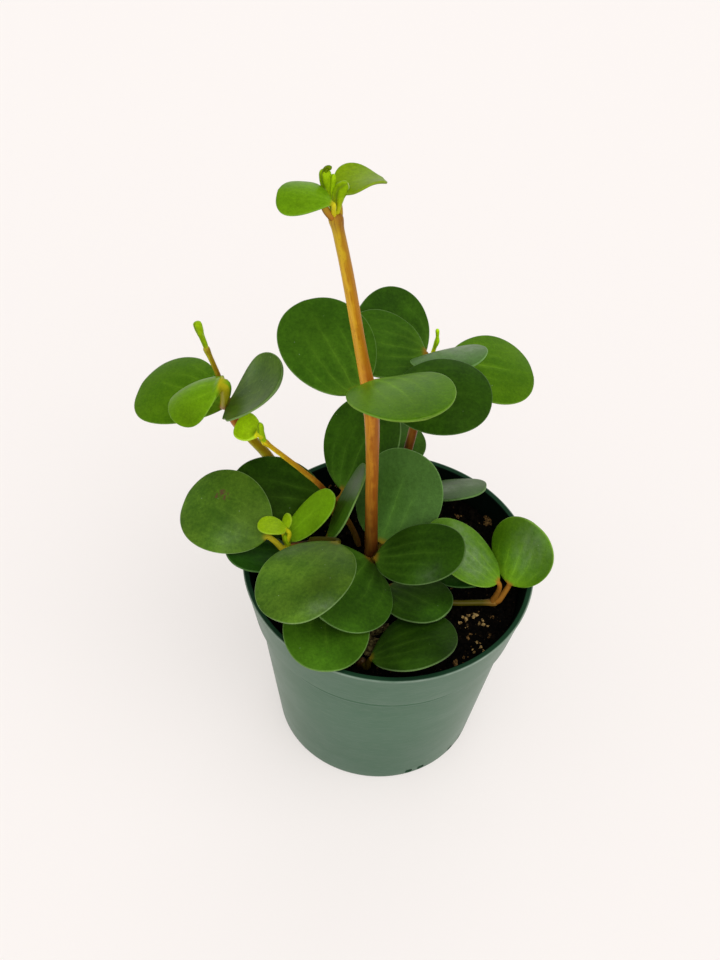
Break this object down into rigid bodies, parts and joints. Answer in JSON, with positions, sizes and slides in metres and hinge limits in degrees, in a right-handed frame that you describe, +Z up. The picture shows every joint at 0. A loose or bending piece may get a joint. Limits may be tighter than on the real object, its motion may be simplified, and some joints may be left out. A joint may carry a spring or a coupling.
{
  "type": "potted trailing peperomia plant",
  "caption": "Trailing jade peperomia with round fleshy leaves on upright and arching stems, growing in a round tapered plastic nursery pot.",
  "frame": {"origin": "middle of the pot's flat base, on the surface it stands on", "axes": "+Z up the pot's axis, -Y towards the viewer in front, +X to the viewer's right"},
  "size_m": [0.148, 0.1181, 0.2468],
  "materials": {
    "pot": "thin moulded nursery-pot plastic, satin, hazy mid green",
    "soil": "dark peaty potting mix with bark, perlite and fine crumbs",
    "stem": "fleshy amber to olive stem, brown at the foot",
    "leaf_dark": "fleshy dark green leaf, satin, with paler veins and margin",
    "leaf_bright": "fleshy young leaf, yellower green, satin, with paler veins",
    "tip": "lime green growing tip"
  },
  "bodies": {
    "root": {"pot": "pot", "soil": "soil", "stem_tall": "stem", "stem_left_middle": "stem", "stem_left_rear": "stem", "stem_back": "stem", "stem_left_low": "stem", "stem_right": "stem", "stem_front": "stem", "stem_front_low": "stem", "leaf_top_left": "leaf_bright", "leaf_top_right": "leaf_bright", "leaf_middle_left": "leaf_dark", "leaf_middle_front": "leaf_bright", "leaf_middle_right": "leaf_dark", "leaf_back_upper": "leaf_dark", "leaf_back_inner": "leaf_dark", "leaf_back_front": "leaf_dark", "leaf_back_right": "leaf_bright", "leaf_back_low": "leaf_dark", "leaf_back_edge": "leaf_dark", "leaf_far_left_rear": "leaf_dark", "leaf_far_left_front": "leaf_bright", "leaf_far_left_right": "leaf_dark", "leaf_left_large": "leaf_dark", "leaf_left_behind": "leaf_dark", "leaf_left_under": "leaf_dark", "leaf_left_young": "leaf_bright", "leaf_left_upright": "leaf_dark", "leaf_rear_centre": "leaf_dark", "leaf_centre": "leaf_dark", "leaf_front_left": "leaf_dark", "leaf_front_middle": "leaf_dark", "leaf_front_low_left": "leaf_dark", "leaf_front_right": "leaf_dark", "leaf_front_inner": "leaf_dark", "leaf_front_low_right": "leaf_dark", "leaf_right_front": "leaf_bright", "leaf_right_under": "leaf_dark", "leaf_right_end": "leaf_dark", "tip_tall": "tip", "tip_left_rear": "tip", "tip_left_middle": "tip", "tip_back": "tip", "tip_left_low": "tip"}
  },
  "joints": []
}
